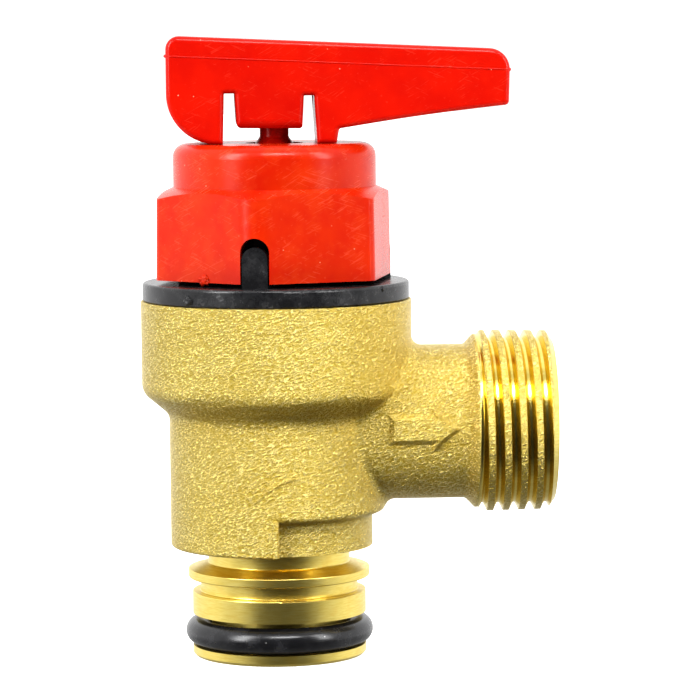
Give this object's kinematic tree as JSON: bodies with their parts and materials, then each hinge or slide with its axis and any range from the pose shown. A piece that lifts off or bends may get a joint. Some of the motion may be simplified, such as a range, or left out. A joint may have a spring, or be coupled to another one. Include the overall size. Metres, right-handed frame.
{
  "type": "pressure relief valve",
  "caption": "Spring-loaded pressure relief valve: plug-in inlet spigot below, threaded side outlet, hexagonal cap and a hand lever that lifts the disc off its seat.",
  "frame": {"origin": "on the valve axis at the lower end of the inlet spigot", "axes": "+Z along the valve axis towards the lever, +X along the outlet"},
  "size_m": [0.0469, 0.0308, 0.0708],
  "materials": {
    "forged_brass": "shot-blasted forging with machined spigot and thread",
    "turned_brass": "turned, bright",
    "steel": "plain zinc-plated",
    "seal_rubber": "satin black",
    "bonnet_black": "semi-gloss glass-filled",
    "cap_red": "semi-gloss moulded",
    "lever_red": "semi-gloss moulded"
  },
  "bodies": {
    "valve": {"valve_body": "forged_brass", "inlet_o_ring": "seal_rubber", "slip_ring": "steel", "diaphragm": "seal_rubber", "spring": "steel", "spring_washer": "steel", "adjusting_nut": "turned_brass", "bonnet": "bonnet_black", "cap": "cap_red"},
    "stem_group": {"seat_washer": "seal_rubber", "washer_screw": "steel", "disc_holder": "turned_brass", "diaphragm_nut": "turned_brass", "stem": "turned_brass", "lower_spring_cup": "steel", "stem_nut": "steel", "stem_head": "lever_red"},
    "lever": {"lever": "lever_red"}
  },
  "joints": [
    {"name": "stem_lift", "type": "slide", "parent": "valve", "child": "stem_group", "axis": [0, 0, 1], "range_m": [0, 0.0024], "deforming": ["spring", "diaphragm"]},
    {"name": "lever_tilt", "type": "hinge", "parent": "stem_group", "child": "lever", "pos_m": [0, 0, 0.062], "axis": [0, -1, 0], "range_deg": [0, 20], "stiffness_Nm_per_rad": 0.29, "springref_deg": -62.45}
  ],
  "couplings": [
    {"joint": "stem_lift", "follows": "lever_tilt", "m_per_rad": 0.00682}
  ]
}
